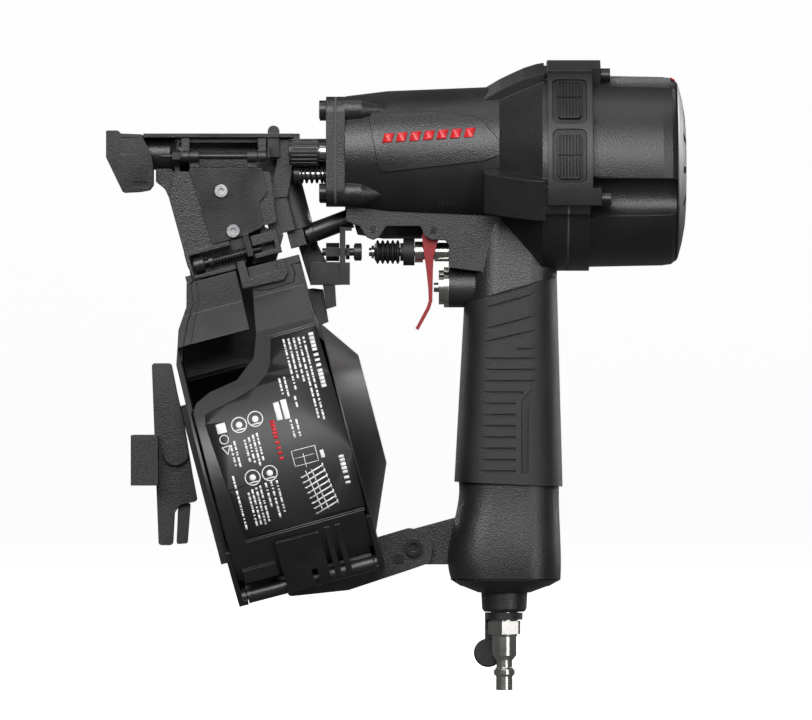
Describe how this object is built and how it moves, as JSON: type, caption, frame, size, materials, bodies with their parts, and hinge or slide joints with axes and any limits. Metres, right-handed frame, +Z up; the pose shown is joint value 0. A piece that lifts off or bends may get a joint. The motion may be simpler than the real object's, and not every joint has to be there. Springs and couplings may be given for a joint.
{
  "type": "pneumatic nail gun",
  "caption": "Coil roofing nailer: cast body with a rubber grip, sprung contact foot, opening nose door and a hinged round nail magazine.",
  "frame": {"origin": "centre of the hand grip", "axes": "+Z up along the handle towards the cylinder, -X along the drive axis towards the nose, -Y towards the tool's left side"},
  "size_m": [0.2702, 0.1231, 0.2938],
  "materials": {
    "cast_black": "fine grained satin black paint",
    "guard_black": "moulded satin",
    "rubber_black": "matt",
    "plastic_black": "moulded, fine texture",
    "red_trigger": "satin",
    "steel": "machined",
    "dark_steel": "blackened",
    "chrome": "polished",
    "liner": "hard coated",
    "gasket": "fibre sheet"
  },
  "bodies": {
    "body": {"body_housing": "cast_black", "grip_sleeve": "rubber_black", "cylinder_liner": "liner", "piston_bumper": "rubber_black", "seal_rings": "rubber_black", "rear_cap": "cast_black", "cap_bolts": "dark_steel", "exhaust_cover": "cast_black", "side_guards": "guard_black", "guard_pads": "rubber_black", "end_cap": "cast_black", "air_plug": "chrome", "housing_pins": "dark_steel", "trigger_valve_body": "chrome", "rod_guide_tube": "chrome", "boot_ring": "rubber_black", "nose_guide": "cast_black", "gaskets": "gasket", "body_bolts": "dark_steel", "nose_studs": "steel", "feed_air_tube": "dark_steel", "feed_cylinder": "cast_black", "feed_cylinder_cap": "dark_steel", "door_hinge_pin": "dark_steel", "magazine_canister": "plastic_black", "cover_hinge_pin": "dark_steel", "tray_post": "plastic_black", "magazine_arm": "cast_black", "head_valve_spring": "steel", "valve_spring": "steel", "feed_spring": "steel", "contact_spring": "dark_steel"},
    "driver": {"piston": "liner", "piston_ring": "gasket", "driver_blade": "steel"},
    "head_valve": {"head_valve": "liner"},
    "contact": {"contact_foot": "dark_steel", "contact_arm": "dark_steel", "trip_bracket": "steel", "trip_screw": "dark_steel"},
    "trip_rod": {"trip_rod": "steel", "rod_bellows": "rubber_black"},
    "depth_adjuster": {"depth_adjuster": "dark_steel"},
    "stop_pin": {"stop_pin": "dark_steel"},
    "trigger": {"trigger": "red_trigger"},
    "valve_plunger": {"valve_plunger": "steel"},
    "feeder": {"feed_piston": "liner"},
    "pawl": {"feed_pawl": "steel"},
    "door": {"door": "cast_black", "door_plate": "dark_steel", "door_screws": "steel", "latch_hook": "cast_black", "latch_spring": "dark_steel"},
    "latch": {"latch_bolt": "dark_steel"},
    "cover": {"magazine_cover": "plastic_black", "hinge_clip": "dark_steel"},
    "tray": {"nail_tray": "plastic_black"},
    "gauge": {"shingle_gauge": "plastic_black"},
    "gauge_knob": {"gauge_knob": "plastic_black"},
    "dust_cap": {"dust_cap": "rubber_black"}
  },
  "joints": [
    {"name": "driver_stroke", "type": "slide", "parent": "body", "child": "driver", "axis": [-1, 0, 0], "range_m": [0, 0.078]},
    {"name": "head_valve_lift", "type": "slide", "parent": "body", "child": "head_valve", "axis": [1, 0, 0], "range_m": [0, 0.004], "stiffness_N_per_m": 900, "springref_m": -0.004, "deforming": ["head_valve_spring"]},
    {"name": "contact_arm_press", "type": "slide", "parent": "body", "child": "contact", "axis": [1, 0, 0], "range_m": [0, 0.007], "stiffness_N_per_m": 700, "springref_m": -0.008, "deforming": ["contact_spring"]},
    {"name": "trip_rod_push", "type": "slide", "parent": "body", "child": "trip_rod", "axis": [1, 0, 0], "range_m": [0, 0.00385], "deforming": ["rod_bellows"]},
    {"name": "adjuster_turn", "type": "hinge", "parent": "body", "child": "depth_adjuster", "pos_m": [-0.0967, -0.0175, 0.1116], "axis": [1, 0, 0], "range_deg": [0, 360]},
    {"name": "stop_pin_set", "type": "slide", "parent": "body", "child": "stop_pin", "axis": [-1, 0, 0], "range_m": [0, 0.0015]},
    {"name": "trigger_pull", "type": "hinge", "parent": "body", "child": "trigger", "pos_m": [-0.0365, 0, 0.0751], "axis": [0, -1, 0], "range_deg": [0, 4.5], "stiffness_Nm_per_rad": 0.6, "springref_deg": -20.05},
    {"name": "valve_push", "type": "slide", "parent": "body", "child": "valve_plunger", "axis": [1, 0, 0], "range_m": [0, 0.00207], "deforming": ["valve_spring"]},
    {"name": "feed_stroke", "type": "slide", "parent": "body", "child": "feeder", "axis": [-0.2538, 0, 0.9673], "range_m": [-0.008, 0], "stiffness_N_per_m": 300, "springref_m": 0.012, "deforming": ["feed_spring"]},
    {"name": "pawl_swing", "type": "hinge", "parent": "feeder", "child": "pawl", "pos_m": [-0.13185, 0.0128, 0.07939], "axis": [0.9673, 0, 0.2538], "range_deg": [0, 20], "stiffness_Nm_per_rad": 0.02, "springref_deg": -17.19},
    {"name": "door_open", "type": "hinge", "parent": "body", "child": "door", "pos_m": [-0.13, -0.017, 0.1097], "axis": [-1, 0, 0], "range_deg": [0, 100]},
    {"name": "latch_pull", "type": "slide", "parent": "door", "child": "latch", "axis": [0.9673, 0, 0.2538], "range_m": [0, 0.005], "stiffness_N_per_m": 500, "springref_m": -0.006, "deforming": ["latch_spring"]},
    {"name": "cover_open", "type": "hinge", "parent": "body", "child": "cover", "pos_m": [-0.09344, -0.0404, -0.0867], "axis": [0.9673, 0, 0.2538], "range_deg": [0, 95]},
    {"name": "tray_height", "type": "slide", "parent": "body", "child": "tray", "axis": [0.9673, 0, 0.2538], "range_m": [-0.014, 0.006]},
    {"name": "gauge_set", "type": "slide", "parent": "body", "child": "gauge", "axis": [-0.2538, 0, 0.9673], "range_m": [-0.02, 0.012]},
    {"name": "gauge_knob_turn", "type": "hinge", "parent": "gauge", "child": "gauge_knob", "pos_m": [-0.156, -0.0361, -0.028], "axis": [0, 1, 0], "range_deg": [0, 180]},
    {"name": "dust_cap_turn", "type": "hinge", "parent": "body", "child": "dust_cap", "pos_m": [-0.0034, 0, -0.1047], "axis": [0, 0, 1], "continuous": true}
  ],
  "couplings": [
    {"joint": "trip_rod_push", "follows": "contact_arm_press", "ratio": 0.55},
    {"joint": "valve_push", "follows": "trigger_pull", "m_per_rad": 0.02636},
    {"joint": "stop_pin_set", "follows": "adjuster_turn", "m_per_rad": 0.000238}
  ]
}
